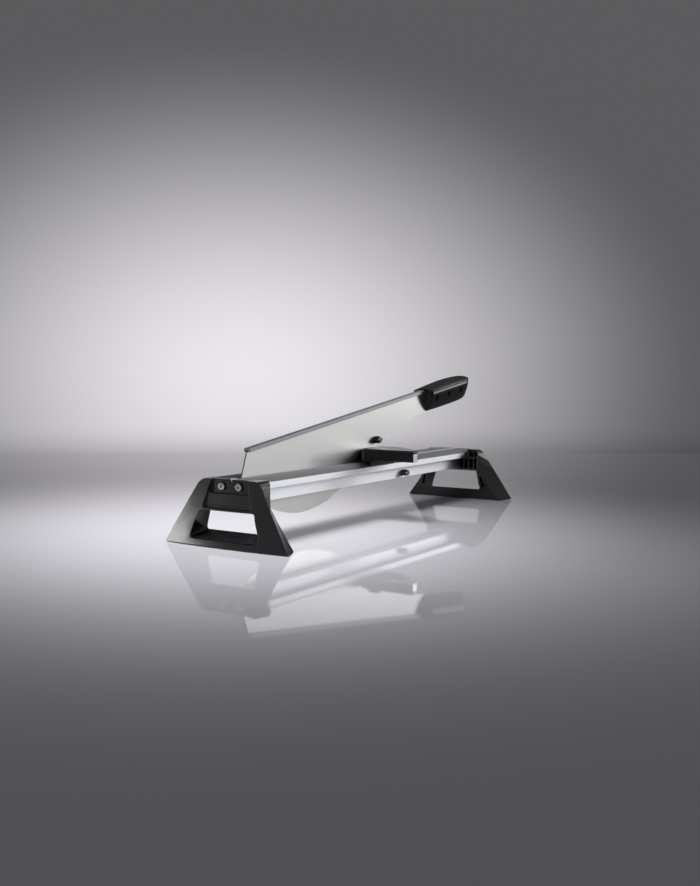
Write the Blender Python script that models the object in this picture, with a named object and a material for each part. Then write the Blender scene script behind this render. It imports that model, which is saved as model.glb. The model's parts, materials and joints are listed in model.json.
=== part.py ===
"""Laminate flooring guillotine: a lever blade that drops between two aluminium rails on two moulded feet."""
import math

import bmesh
import bpy
from mathutils import Matrix, Vector

MM = 0.001

# Fits and facets
GAP = 0.3 * MM
WELD = 0.002 * MM
OVERRUN = 4 * MM
ROUND_STEPS = 28
SMALL_STEPS = 20
SMOOTH_ANGLE = math.radians(32)

# Feet
BASE_LENGTH = 650 * MM
FOOT_U = BASE_LENGTH / 2
FOOT_WIDTH = 205 * MM
FOOT_TOP = 87 * MM
FOOT_BOTTOM = 1 * MM
FOOT_TOP_HALF = 48 * MM
FOOT_CORNER_RADIUS = 8 * MM
FOOT_LEAN = 12 * MM
FOOT_BULGE = 5 * MM
FOOT_DEPTH = 27.5 * MM
FOOT_INNER_HALF = 90 * MM
FOOT_INNER_CHAMFER = 3 * MM
BLOCK_HALF = 50 * MM
BLOCK_BOTTOM = 51 * MM
BLOCK_REACH = 3.5 * MM
FOOT_LEVEL_SHARES = (0.0, 0.3, 0.593, 0.76, 0.908, 0.96, 0.985, 1.0)
FOOT_FACE_PANELS = 10

# Grip window through each foot, outer and inner outline
WINDOW_OUTSET = 3 * MM
WINDOW_INSET = 26 * MM
WINDOW_OUTER_U = FOOT_U + WINDOW_OUTSET
WINDOW_INNER_U = FOOT_U - WINDOW_INSET
WINDOW_OUTER_FLOOR = 9.4 * MM
WINDOW_OUTER_TOP = 45.8 * MM
WINDOW_OUTER_FLOOR_HALF = 58.5 * MM
WINDOW_OUTER_TOP_HALF = 44.5 * MM
WINDOW_INNER_FLOOR = 17 * MM
WINDOW_INNER_TOP = 50.6 * MM
WINDOW_INNER_FLOOR_HALF = 54.5 * MM
WINDOW_INNER_TOP_HALF = 46.5 * MM
WINDOW_RADIUS = 3.8 * MM
TREAD_COUNT = 7
TREAD_WIDTH = 1.6 * MM
TREAD_DEPTH = 1.0 * MM
TREAD_END_MARGIN = 7 * MM

# Recessed face between the legs: the plate over the window, and the deeper face of the screws above its ledge
FACE_INSET = 13.7 * MM
PLATE_INSET = 9 * MM
FACE_U = FOOT_U - FACE_INSET
PLATE_U = FOOT_U - PLATE_INSET
FACE_LIP = 4.7 * MM
FACE_BOTTOM = WINDOW_OUTER_TOP + FACE_LIP
FACE_LEDGE = 69 * MM
FACE_TOP_HALF = 29.2 * MM
FACE_BOTTOM_HALF = 40.2 * MM
FACE_RADIUS = 2.5 * MM
FACE_DRAFT_SHARE = 0.16
PANEL_DEPTH = 0.8 * MM
PANEL_TOP = 67.2 * MM
PANEL_BOTTOM = 53.2 * MM
PANEL_TOP_HALF = 28.5 * MM
PANEL_BOTTOM_HALF = 32 * MM
PANEL_RADIUS = 1.2 * MM
NOTCH_HALF = 1.7 * MM
NOTCH_DEPTH = 4 * MM

# Hollows of the moulding
CORE_DEPTH = 12 * MM
CORE_START = 15.1 * MM
CORE_PITCH = 9.5 * MM
CORE_RIB = 2 * MM
CORE_COUNT = 4
CORE_FLOOR = 2.5 * MM
CORE_WEB = 3.5 * MM
CORE_TOP_WALL = 4 * MM
LEG_WALL = 2.5 * MM
LEG_WINDOW_WALL = 4 * MM
LEG_POCKET_WIDTH = 5 * MM
LEG_POCKET_DEPTH = 13 * MM
LEG_POCKET_FLOOR = 22 * MM
LEG_POCKET_TOP = 40 * MM
UNDER_POCKET_HALF = 66 * MM
UNDER_POCKET_DEPTH = 3 * MM
UNDER_POCKET_WALL = 5 * MM

# Rubber pads under the feet
PAD_RADIUS = 7 * MM
PAD_HEIGHT = 4 * MM
PAD_END_MARGIN = 18.5 * MM
PAD_INSET = 16 * MM
PAD_SPREAD = FOOT_WIDTH / 2 - PAD_END_MARGIN
PAD_U = FOOT_U - PAD_INSET

# Rails
DECK_TOP = 87.8 * MM
RAIL_BOTTOM = 55.2 * MM
RAIL_INSET = 17 * MM
RAIL_END_U = FOOT_U - RAIL_INSET
SLOT_HALF = 3 * MM
DECK_FRONT_FLAT = 20 * MM
DECK_FRONT_REACH = 31 * MM
DECK_REAR_REACH = 34 * MM
LIP_TOP = 82.4 * MM
LIP_BOTTOM = 73.6 * MM
LIP_WALL = 2.5 * MM
WEB_OUTER = 19 * MM
RAIL_WALL = 3 * MM
SLOT_WALL = 4 * MM
DECK_WALL = 3 * MM
CHANNEL_RADIUS = 2.1 * MM
CHANNEL_Y = 14 * MM
CHANNEL_Z = 77.8 * MM
CHANNEL_LAND = 1.2 * MM
EDGE_BREAK = 0.6 * MM

# Foot screws
FOOT_SCREW_HEAD_RADIUS = 5 * MM
FOOT_SCREW_HEAD_HEIGHT = 3.4 * MM
FOOT_SCREW_SEAT_MARGIN = 1 * MM
FOOT_SCREW_SEAT_DEPTH = 0.4 * MM
FOOT_SCREW_SHANK_RADIUS = 1.8 * MM
FOOT_SCREW_LENGTH = 20 * MM
FOOT_SCREW_SOCKET = 3.2 * MM

# Lever: pivot and slope in the position shown
LEVER_SLOPE = math.radians(8.4)
PIVOT_INSET = 60 * MM
PIVOT_X = FOOT_U - PIVOT_INSET
PIVOT_Z = 69 * MM
BLADE_THICKNESS = 2 * MM
HEEL_RADIUS = 26 * MM
HEEL_START = math.radians(150)
HEEL_END = math.radians(255)
HEEL_STEPS = 7
BLADE_BACK_TOP_X = -5.8 * MM
BLADE_BACK_LOW_X = -22.8 * MM
BLADE_BACK_LOW_Z = 21.8 * MM
SPINE_Z = 52 * MM
BLADE_SEAT = 2.6 * MM
EDGE_LENGTH = 303 * MM
BELLY_DEPTH = 58 * MM
BELLY_SHARES = (
    (0.099, -0.569), (0.160, -0.722), (0.231, -0.866), (0.307, -0.962), (0.386, -1.0),
    (0.469, -0.995), (0.554, -0.945), (0.644, -0.817), (0.759, -0.578), (0.878, -0.331),
    (1.0, -0.076),
)
BEVEL_WIDTH = 6 * MM
BEVEL_LAND = 0.5 * MM
WEB_END_X = 470 * MM
WEB_END_Z = 19.3 * MM
WEB_SHARES = (
    (0.168, 0.173), (0.263, 0.359), (0.359, 0.515), (0.461, 0.662), (0.557, 0.781),
    (0.659, 0.848), (0.862, 0.958),
)
TANG_END_X = 596 * MM
TANG_BOTTOM_Z = 26 * MM

# Spine: extruded cap on the blade's back
SPINE_WIDTH = 10 * MM
SPINE_HEIGHT = 5 * MM
SPINE_GROOVES = 4
SPINE_GROOVE_DEPTH = 0.7 * MM
SPINE_CLEAR = 0.3 * MM

# Grip
GRIP_START_X = 470 * MM
GRIP_END_X = 615 * MM
GRIP_BOTTOM_Z = 20 * MM
GRIP_BELLY = 1.6 * MM
GRIP_BELLY_SHARE = 0.64
GRIP_SHOULDER_Z = 52.6 * MM
GRIP_HALF_WIDTH = 17.8 * MM
GRIP_NOSE = 30 * MM
GRIP_NOSE_SHARE = 0.985
GRIP_END_SLANT_SHARE = 0.15
GRIP_TOE_RISE_SHARE = 0.08
GRIP_STATIONS = 12
GRIP_SIDE_SHARES = (
    (0.10, 0.0), (0.30, 0.06), (0.47, 0.17), (0.63, 0.325), (0.77, 0.47), (0.875, 0.62),
    (0.96, 0.76), (1.0, 0.88), (0.99, 0.96), (0.95, 1.0),
)
GRIP_END_WIDTH_SHARE = 0.25
CAP_LIP = 4 * MM
CAP_LIP_ROUND = 2.4 * MM
CAP_LIP_SHARE = 0.86
CAP_HALF_WIDTH = 19.3 * MM
CAP_HEIGHT = 7 * MM
CAP_BOW = 3.6 * MM
CAP_END_SHARE = 0.6
CAP_SIDE_SHARES = ((0.985, 0.0), (1.0, 0.10), (0.985, 0.25), (0.93, 0.41), (0.85, 0.53), (0.78, 0.62))
CAP_GROOVES = 5
CAP_GROOVE_DEPTH = 0.8 * MM
CAP_GROOVED_SHARE = 0.70

# Grip screws
GRIP_SCREW_FIRST_X = 484.5 * MM
GRIP_SCREW_PITCH = 44 * MM
GRIP_SCREW_COUNT = 3
GRIP_SCREW_Z = 39.8 * MM
GRIP_SCREW_SHANK_RADIUS = 2 * MM
GRIP_SCREW_HEAD_RADIUS = 3.9 * MM
GRIP_SCREW_HEAD_HEIGHT = 2.6 * MM
GRIP_SCREW_SEAT = 8 * MM
GRIP_WELL_RADIUS = 4.6 * MM
GRIP_NUT_FLATS = 7 * MM
GRIP_NUT_HEIGHT = 3.2 * MM

# Pivot
PIVOT_RADIUS = 4 * MM
PIVOT_HEAD_RADIUS = 6.5 * MM
PIVOT_HEAD_HEIGHT = 5 * MM
PIVOT_SOCKET = 5 * MM
PIVOT_TIP_RADIUS = 2.5 * MM
PIVOT_NUT_FLATS = 8 * MM
PIVOT_NUT_HEIGHT = 4.5 * MM
BUSH_RADIUS = 6 * MM
BUSH_CLEAR = 0.25 * MM
WASHER_RADIUS = 11 * MM
WASHER_CLEAR = 0.2 * MM

# Stop stud on the blade and anchor stud on the front rail
STOP_X = 303 * MM
STOP_Z = 5 * MM
STOP_RADIUS = 5.6 * MM
STOP_SLEEVE_LENGTH = 7.5 * MM
STOP_HEAD_RADIUS = 4.3 * MM
STOP_HEAD_HEIGHT = 3.2 * MM
STOP_SHANK_RADIUS = 2.5 * MM
STOP_NUT_FLATS = 8 * MM
STOP_NUT_HEIGHT = 4 * MM
STOP_SOCKET = 4 * MM
STUD_X = 88.3 * MM
STUD_Z = 63.3 * MM
STUD_RADIUS = 5 * MM
STUD_SLEEVE_LENGTH = 7 * MM
STUD_SHANK_LENGTH = 14 * MM

# Fence
FENCE_FACE_X = -15 * MM
FENCE_PIVOT_Y = -11 * MM
FENCE_NOSE_RADIUS = 8 * MM
FENCE_FREE_Y = -97 * MM
FENCE_BOTTOM = 90.4 * MM
FENCE_TOP = 105.8 * MM
FENCE_CROWN = 1.6 * MM
FENCE_ROOT_X = 44 * MM
FENCE_BACK_X = 47 * MM
FENCE_BACK_Y = -34 * MM
FENCE_BACK_SHARES = ((0.94, 0.175), (0.80, 0.34), (0.65, 0.49), (0.42, 0.70), (0.18, 0.92))
FENCE_HOLLOW_POINTS = 3
FENCE_SKIN = 1.4 * MM
FENCE_CAP_WALL = 3 * MM
FENCE_BAR_WIDTH = 12 * MM
FENCE_BAR_ROOT_Y = -24 * MM
FENCE_HOLLOW_WALL = 2.6 * MM
FENCE_BOSS_RADIUS = 6.5 * MM
FENCE_SCREW_HEAD_RADIUS = 3.9 * MM
FENCE_SCREW_HEAD_HEIGHT = 4 * MM
FENCE_SCREW_SHANK_RADIUS = 2 * MM
FENCE_SCREW_RECESS = 6 * MM
FENCE_SCREW_SOCKET = 3.2 * MM
FENCE_SCREW_LENGTH = 31 * MM
FENCE_NUT_FLATS = 7 * MM
FENCE_NUT_HEIGHT = 3.2 * MM
BASE_TOP = 90 * MM
BASE_EAR_TOP = 87.5 * MM
BASE_EAR_X = -26 * MM
BASE_EAR_INNER_X = -16.5 * MM
BASE_END_X = 42 * MM
BASE_SCREW_X = 30 * MM
BASE_SCREW_HEAD_RADIUS = 3.4 * MM
BASE_SCREW_HEAD_HEIGHT = 1.4 * MM
BASE_SCREW_SHANK_RADIUS = 1.6 * MM
BASE_SCREW_LENGTH = 5.5 * MM
BASE_SCREW_SPREAD_SHARES = (0.0, 1.0)
BASE_SCREW_PITCH = 8 * MM

# Where the base's middle lies, so that the origin is under the middle of the whole tool
GRIP_TIP_X = GRIP_END_X - GRIP_NOSE * (1 - GRIP_NOSE_SHARE)
LEVER_TIP_X = -PIVOT_X + GRIP_TIP_X * math.cos(LEVER_SLOPE) - GRIP_SHOULDER_Z * math.sin(LEVER_SLOPE)
FOOT_BULGE_SHARE = 0.35
FOOT_TIP_X = FOOT_U + FOOT_BULGE - (FOOT_LEAN + FOOT_BULGE * (1 - FOOT_BULGE_SHARE)) * FOOT_BOTTOM / FOOT_TOP
BASE_X = -(LEVER_TIP_X - FOOT_TIP_X) / 2


def start_empty():
    for obj in list(bpy.data.objects):
        bpy.data.objects.remove(obj, do_unlink=True)


def material(name, colour, roughness, metallic):
    mat = bpy.data.materials.new(name)
    mat.use_nodes = True
    shader = mat.node_tree.nodes["Principled BSDF"]
    shader.inputs["Base Color"].default_value = (*colour, 1.0)
    shader.inputs["Roughness"].default_value = roughness
    shader.inputs["Metallic"].default_value = metallic
    mat.diffuse_color = (*colour, 1.0)
    return mat


def empty(name, parent=None, location=(0, 0, 0), turn_y=0.0):
    obj = bpy.data.objects.new(name, None)
    bpy.context.scene.collection.objects.link(obj)
    obj.parent = parent
    obj.location = location
    obj.rotation_euler = (0, turn_y, 0)
    return obj


def add_object(name, bm, mat=None, parent=None, location=(0, 0, 0), rotation=(0, 0, 0)):
    """Close a bmesh into an object, faces pointing out and shaded smooth below the crease angle."""
    bmesh.ops.recalc_face_normals(bm, faces=bm.faces)
    mesh = bpy.data.meshes.new(name)
    bm.to_mesh(mesh)
    bm.free()
    obj = bpy.data.objects.new(name, mesh)
    bpy.context.scene.collection.objects.link(obj)
    if mat is not None:
        mesh.materials.append(mat)
    mesh.shade_smooth()
    mesh.set_sharp_from_angle(angle=SMOOTH_ANGLE)
    obj.parent = parent
    obj.location = location
    obj.rotation_euler = rotation
    return obj


def loft(rings):
    """Skin a row of closed rings that all have as many points, and close both ends."""
    bm = bmesh.new()
    rows = []
    for ring in rings:
        rows.append([bm.verts.new(point) for point in ring])
    count = len(rows[0])
    for low, high in zip(rows, rows[1:]):
        for i in range(count):
            j = (i + 1) % count
            bm.faces.new((low[i], low[j], high[j], high[i]))
    bm.faces.new(rows[0])
    bm.faces.new(rows[-1])
    return bm


def prism(outline, axis, low, high):
    """Extrude an outline along X, Y or Z; its points give the other two coordinates in order."""
    def place(point, along):
        spots = {"X": (along, *point), "Y": (point[0], along, point[1]), "Z": (*point, along)}
        return spots[axis]

    bm = bmesh.new()
    face = bm.faces.new([bm.verts.new(place(point, low)) for point in outline])
    made = bmesh.ops.extrude_face_region(bm, geom=[face])
    shift = Vector(place((0, 0), high - low))
    bmesh.ops.translate(bm, verts=[v for v in made["geom"] if isinstance(v, bmesh.types.BMVert)], vec=shift)
    return bm


def block(x, y, z):
    return prism(((x[0], y[0]), (x[1], y[0]), (x[1], y[1]), (x[0], y[1])), "Z", z[0], z[1])


def turned(profile, steps=ROUND_STEPS):
    """Revolve a profile of (radius, height) points about Z; it starts and ends on the axis or closes a ring."""
    bm = bmesh.new()
    verts = [bm.verts.new((radius, 0, height)) for radius, height in profile]
    solid = profile[0][0] == 0
    edges = [bm.edges.new(pair) for pair in zip(verts, verts[1:])]
    if not solid:
        edges.append(bm.edges.new((verts[-1], verts[0])))
    bmesh.ops.spin(
        bm, geom=verts + edges, cent=(0, 0, 0), axis=(0, 0, 1),
        angle=math.tau, steps=steps, use_merge=True,
    )
    bmesh.ops.remove_doubles(bm, verts=bm.verts, dist=WELD)
    return bm


def cylinder(radius, low, high, steps=ROUND_STEPS):
    return turned(((0, low), (radius, low), (radius, high), (0, high)), steps)


def hexagon(flats, low, high):
    radius = flats / 2 / math.cos(math.pi / 6)
    outline = [(radius * math.cos(k * math.pi / 3), radius * math.sin(k * math.pi / 3)) for k in range(6)]
    return prism(outline, "Z", low, high)


def along_y(bm, x=0.0, z=0.0):
    """Lay a shape that was made along Z along Y, its upper end towards the front, at the given x and z."""
    bmesh.ops.rotate(bm, verts=bm.verts, cent=(0, 0, 0), matrix=Matrix.Rotation(math.pi / 2, 3, "X"))
    bmesh.ops.translate(bm, verts=bm.verts, vec=(x, 0, z))
    return bm


def along_x(bm, y=0.0, z=0.0):
    """Lay a shape that was made along Z along X, at the given y and z."""
    bmesh.ops.rotate(bm, verts=bm.verts, cent=(0, 0, 0), matrix=Matrix.Rotation(math.pi / 2, 3, "Y"))
    bmesh.ops.translate(bm, verts=bm.verts, vec=(0, y, z))
    return bm


def close_facets(mesh):
    """Fill any small facet that a cut left open."""
    bm = bmesh.new()
    bm.from_mesh(mesh)
    rim = [edge for edge in bm.edges if edge.is_boundary]
    if rim:
        bmesh.ops.holes_fill(bm, edges=rim, sides=0)
        bmesh.ops.recalc_face_normals(bm, faces=bm.faces)
        bm.to_mesh(mesh)
    bm.free()


def combine(obj, bm, operation="DIFFERENCE"):
    """Cut a shape out of an object, or join it on, in the object's own space."""
    tool = add_object("tool", bm)
    bpy.context.view_layer.update()
    tool.matrix_world = obj.matrix_world
    modifier = obj.modifiers.new("cut", "BOOLEAN")
    modifier.operation = operation
    modifier.solver = "EXACT"
    modifier.object = tool
    graph = bpy.context.evaluated_depsgraph_get()
    mesh = bpy.data.meshes.new_from_object(obj.evaluated_get(graph), depsgraph=graph)
    old = obj.data
    obj.modifiers.clear()
    obj.data = mesh
    mesh.name = obj.name
    tool_mesh = tool.data
    bpy.data.objects.remove(tool, do_unlink=True)
    bpy.data.meshes.remove(tool_mesh)
    bpy.data.meshes.remove(old)
    close_facets(mesh)
    mesh.shade_smooth()
    mesh.set_sharp_from_angle(angle=SMOOTH_ANGLE)
    return obj


def tidy(obj):
    """Dissolve flat facets and weld points that a cut left on top of each other."""
    bm = bmesh.new()
    bm.from_mesh(obj.data)
    bmesh.ops.remove_doubles(bm, verts=bm.verts, dist=WELD)
    bmesh.ops.dissolve_degenerate(bm, edges=bm.edges, dist=WELD)
    bm.to_mesh(obj.data)
    bm.free()
    obj.data.shade_smooth()
    obj.data.set_sharp_from_angle(angle=SMOOTH_ANGLE)
    return obj


def arc(centre, radius, start, end, steps):
    points = []
    for k in range(steps + 1):
        angle = start + (end - start) * k / steps
        points.append((centre[0] + radius * math.cos(angle), centre[1] + radius * math.sin(angle)))
    return points


def rounded(corners, radius, steps=4):
    """Round each corner of a convex outline with an arc of about the given radius."""
    points = []
    count = len(corners)
    for i, corner in enumerate(corners):
        here = Vector(corner)
        back = (Vector(corners[i - 1]) - here).normalized()
        ahead = (Vector(corners[(i + 1) % count]) - here).normalized()
        half = back.angle(ahead) / 2
        reach = radius / math.tan(half)
        start = here + back * reach
        end = here + ahead * reach
        centre = here + (back + ahead).normalized() * (radius / math.sin(half))
        first = start - centre
        sweep = first.angle_signed(end - centre)
        for k in range(steps + 1):
            turn = Matrix.Rotation(-sweep * k / steps, 2)
            points.append(tuple(centre + turn @ first))
    return points


def foot_outer_half(z):
    straight = FOOT_TOP_HALF + (FOOT_WIDTH / 2 - FOOT_TOP_HALF) * (1 - z / FOOT_TOP)
    over = z - (FOOT_TOP - FOOT_CORNER_RADIUS)
    if over <= 0:
        return straight
    return straight - FOOT_CORNER_RADIUS + math.sqrt(max(FOOT_CORNER_RADIUS ** 2 - over ** 2, 0))


def foot_inner_half(z):
    flare = (FOOT_INNER_HALF - BLOCK_HALF) * max(1 - z / BLOCK_BOTTOM, 0)
    over = max(z - (FOOT_TOP - FOOT_INNER_CHAMFER), 0)
    return BLOCK_HALF + flare - over


def foot_outer_u(y, z):
    share = 1 - z / FOOT_TOP
    half = FOOT_WIDTH / 2
    bulge = FOOT_BULGE * (1 - (y / half) ** 2) * (FOOT_BULGE_SHARE + (1 - FOOT_BULGE_SHARE) * share)
    return FOOT_U - FOOT_LEAN * (1 - share) + bulge


def foot_inner_u(z):
    return FOOT_U - FOOT_DEPTH - BLOCK_REACH * min(z / BLOCK_BOTTOM, 1)


def foot_ring(z):
    """One level of the foot in plan: the bowed outer face, then the flat inner face."""
    outer = foot_outer_half(z)
    inner = foot_inner_half(z)
    ring = []
    for k in range(FOOT_FACE_PANELS + 1):
        y = outer * (1 - 2 * k / FOOT_FACE_PANELS)
        ring.append((foot_outer_u(y, z), y, z))
    ring.append((foot_inner_u(z), -inner, z))
    ring.append((foot_inner_u(z), inner, z))
    return ring


def window_outline(floor, top, floor_half, top_half):
    corners = ((-floor_half, floor), (floor_half, floor), (top_half, top), (-top_half, top))
    return rounded(corners, WINDOW_RADIUS)


def window_shape():
    """The grip window: two outlines, drawn out past both faces along the straight line between them."""
    outer = window_outline(
        WINDOW_OUTER_FLOOR, WINDOW_OUTER_TOP, WINDOW_OUTER_FLOOR_HALF, WINDOW_OUTER_TOP_HALF)
    inner = window_outline(
        WINDOW_INNER_FLOOR, WINDOW_INNER_TOP, WINDOW_INNER_FLOOR_HALF, WINDOW_INNER_TOP_HALF)
    span = WINDOW_OUTER_U - WINDOW_INNER_U
    past_out = (FOOT_TIP_X + OVERRUN - WINDOW_OUTER_U) / span
    past_in = 2 * OVERRUN / span
    rings = []
    for share in (1 + past_out, -past_in):
        u = WINDOW_INNER_U + span * share
        ring = []
        for a, b in zip(inner, outer):
            ring.append((u, a[0] + (b[0] - a[0]) * share, a[1] + (b[1] - a[1]) * share))
        rings.append(ring)
    return loft(rings)


def tread_grooves(foot):
    """Grooves across the sloping floor of the window, for the fingers."""
    span = foot_outer_u(0, WINDOW_OUTER_FLOOR) - WINDOW_INNER_U
    drop = (WINDOW_INNER_FLOOR - WINDOW_OUTER_FLOOR) / (WINDOW_OUTER_U - WINDOW_INNER_U)
    for k in range(TREAD_COUNT):
        share = (k + 0.5) / TREAD_COUNT
        u = WINDOW_INNER_U + span * share
        floor = WINDOW_INNER_FLOOR - drop * span * share
        half = WINDOW_INNER_FLOOR_HALF - TREAD_END_MARGIN
        x = (u - TREAD_WIDTH / 2, u + TREAD_WIDTH / 2)
        combine(foot, block(x, (-half, half), (floor - TREAD_DEPTH, floor + OVERRUN)))


def face_outline(low, high, out):
    """The recess between the legs from one level to another, wider by its draft where it is further out."""
    slope = (FACE_BOTTOM_HALF - FACE_TOP_HALF) / (FOOT_TOP - FACE_BOTTOM)
    wider = FACE_DRAFT_SHARE * out
    low -= wider
    half_low = FACE_BOTTOM_HALF + slope * (FACE_BOTTOM - low) + wider
    half_high = FACE_BOTTOM_HALF + slope * (FACE_BOTTOM - high) + wider
    corners = ((-half_low, low), (half_low, low), (half_high, high), (-half_high, high))
    return rounded(corners, FACE_RADIUS, 2)


def foot_face_recess(foot):
    """Set the face between the legs back in two steps, with the shallow bare panel in the lower one."""
    top = FOOT_TOP + OVERRUN
    past = FOOT_TIP_X + OVERRUN
    for low, u in ((FACE_BOTTOM, PLATE_U), (FACE_LEDGE, FACE_U)):
        rings = []
        for x in (u, past):
            outline = face_outline(low, top, x - PLATE_U if x > PLATE_U else 0)
            rings.append([(x, y, z) for y, z in outline])
        combine(foot, loft(rings))
    panel = (
        (-PANEL_BOTTOM_HALF, PANEL_BOTTOM), (PANEL_BOTTOM_HALF, PANEL_BOTTOM),
        (PANEL_TOP_HALF, PANEL_TOP), (-PANEL_TOP_HALF, PANEL_TOP),
    )
    combine(foot, prism(rounded(panel, PANEL_RADIUS, 2), "X", PLATE_U - PANEL_DEPTH, PLATE_U + PANEL_DEPTH))


def foot_rail_seat(foot):
    """The pocket that holds the rail ends, and the slot and notch that the blade's heel swings into."""
    start = FOOT_U - FOOT_DEPTH - BLOCK_REACH - OVERRUN
    stop = RAIL_END_U + GAP
    top = FOOT_TOP + OVERRUN
    web = WEB_OUTER + GAP
    combine(foot, block((start, stop), (-web, web), (RAIL_BOTTOM - GAP, top)))
    deck = (-DECK_FRONT_REACH - GAP, DECK_REAR_REACH + GAP)
    combine(foot, block((start, stop), deck, (LIP_BOTTOM - GAP, top)))
    notch = (RAIL_END_U, FACE_U + OVERRUN)
    combine(foot, block(notch, (-NOTCH_HALF, NOTCH_HALF), (FOOT_TOP - NOTCH_DEPTH, top)))


def leg_pocket_point(z, side, out):
    """A point of the leg's slot at a height: a set distance from the window's edge, inside the leg's wall."""
    rise = (z - WINDOW_INNER_FLOOR) / (WINDOW_INNER_TOP - WINDOW_INNER_FLOOR)
    edge = WINDOW_INNER_FLOOR_HALF + (WINDOW_INNER_TOP_HALF - WINDOW_INNER_FLOOR_HALF) * rise
    return side * min(edge + out, foot_inner_half(z) - LEG_WALL), z


def foot_core_outs(foot):
    """Ribbed hollows in the inner face in two tiers, and a slot in each leg, as a moulding has them."""
    inner = FOOT_U - FOOT_DEPTH - BLOCK_REACH
    web = LIP_BOTTOM - CORE_FLOOR
    depth = (inner - OVERRUN, inner + CORE_DEPTH)
    for side, reach in ((-1, DECK_FRONT_REACH), (1, DECK_REAR_REACH)):
        for k in range(CORE_COUNT):
            near = CORE_START + k * CORE_PITCH
            far = min(near + CORE_PITCH - CORE_RIB, BLOCK_HALF - CORE_RIB)
            y = sorted((side * near, side * far))
            combine(foot, block(depth, y, (BLOCK_BOTTOM + CORE_FLOOR, web)))
            near = max(near, reach + CORE_RIB)
            if far - near > CORE_RIB:
                y = sorted((side * near, side * far))
                combine(foot, block(depth, y, (web + CORE_WEB, FOOT_TOP - CORE_TOP_WALL)))
        outline = (
            leg_pocket_point(LEG_POCKET_FLOOR, side, LEG_WINDOW_WALL),
            leg_pocket_point(LEG_POCKET_FLOOR, side, LEG_WINDOW_WALL + LEG_POCKET_WIDTH),
            leg_pocket_point(LEG_POCKET_TOP, side, LEG_WINDOW_WALL + LEG_POCKET_WIDTH),
            leg_pocket_point(LEG_POCKET_TOP, side, LEG_WINDOW_WALL),
        )
        combine(foot, prism(outline, "X", inner - OVERRUN, inner + LEG_POCKET_DEPTH))


def foot_underside(foot):
    x = (FOOT_U - FOOT_DEPTH + UNDER_POCKET_WALL, FOOT_U - UNDER_POCKET_WALL)
    half = UNDER_POCKET_HALF
    combine(foot, block(x, (-half, half), (FOOT_BOTTOM - OVERRUN, FOOT_BOTTOM + UNDER_POCKET_DEPTH)))
    for side in (-1, 1):
        pocket = cylinder(PAD_RADIUS + GAP, FOOT_BOTTOM - OVERRUN, PAD_HEIGHT + GAP, SMALL_STEPS)
        bmesh.ops.translate(pocket, verts=pocket.verts, vec=(PAD_U, side * PAD_SPREAD, 0))
        combine(foot, pocket)


def foot_screw_holes(foot):
    for side in (-1, 1):
        hole = cylinder(FOOT_SCREW_SHANK_RADIUS + GAP, RAIL_END_U - OVERRUN, FACE_U + OVERRUN, SMALL_STEPS)
        combine(foot, along_x(hole, side * CHANNEL_Y, CHANNEL_Z))
        seat = cylinder(
            FOOT_SCREW_HEAD_RADIUS + FOOT_SCREW_SEAT_MARGIN, FACE_U - FOOT_SCREW_SEAT_DEPTH, FACE_U + OVERRUN,
            SMALL_STEPS)
        combine(foot, along_x(seat, side * CHANNEL_Y, CHANNEL_Z))


def mirrored_copy(obj, name):
    """A second object whose mesh is the first one's mirror image across X."""
    bm = bmesh.new()
    bm.from_mesh(obj.data)
    bmesh.ops.scale(bm, verts=bm.verts, vec=(-1, 1, 1))
    bmesh.ops.reverse_faces(bm, faces=bm.faces)
    mesh = bpy.data.meshes.new(name)
    bm.to_mesh(mesh)
    bm.free()
    twin = bpy.data.objects.new(name, mesh)
    bpy.context.scene.collection.objects.link(twin)
    twin.parent = obj.parent
    mesh.shade_smooth()
    mesh.set_sharp_from_angle(angle=SMOOTH_ANGLE)
    return twin


def build_feet(base, plastic, rubber):
    levels = [FOOT_BOTTOM + (FOOT_TOP - FOOT_BOTTOM) * share for share in FOOT_LEVEL_SHARES]
    foot = add_object("foot_right", loft([foot_ring(z) for z in levels]), plastic, base)
    foot_face_recess(foot)
    combine(foot, window_shape())
    foot_rail_seat(foot)
    foot_core_outs(foot)
    foot_underside(foot)
    foot_screw_holes(foot)
    tread_grooves(foot)
    tidy(foot)
    mirrored_copy(foot, "foot_left")
    for end, x_side in (("left", -1), ("right", 1)):
        for place, y_side in (("front", -1), ("rear", 1)):
            pad = cylinder(PAD_RADIUS, 0, PAD_HEIGHT, SMALL_STEPS)
            spot = (x_side * PAD_U, y_side * PAD_SPREAD, 0)
            add_object(f"pad_{end}_{place}", pad, rubber, base, spot)


def rail_outline(side):
    """Section of one rail in (y, z), seen along X; side -1 is the front rail with the sloping deck edge."""
    reach = DECK_FRONT_REACH if side < 0 else DECK_REAR_REACH
    flat = DECK_FRONT_FLAT if side < 0 else reach - EDGE_BREAK
    shoulder = LIP_TOP if side < 0 else DECK_TOP - EDGE_BREAK
    inner = reach - LIP_WALL
    under = DECK_TOP - DECK_WALL
    under_lip = min(shoulder - DECK_WALL / 2, under)
    points = [
        (SLOT_HALF, RAIL_BOTTOM), (WEB_OUTER - EDGE_BREAK, RAIL_BOTTOM), (WEB_OUTER, RAIL_BOTTOM + EDGE_BREAK),
        (WEB_OUTER, under - EDGE_BREAK), (inner, under_lip - EDGE_BREAK), (inner, LIP_BOTTOM),
        (reach, LIP_BOTTOM), (reach, shoulder - EDGE_BREAK), (reach - EDGE_BREAK, shoulder),
        (flat, DECK_TOP), (SLOT_HALF + EDGE_BREAK, DECK_TOP), (SLOT_HALF, DECK_TOP - EDGE_BREAK),
    ]
    return [(side * y, z) for y, z in points]


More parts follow.
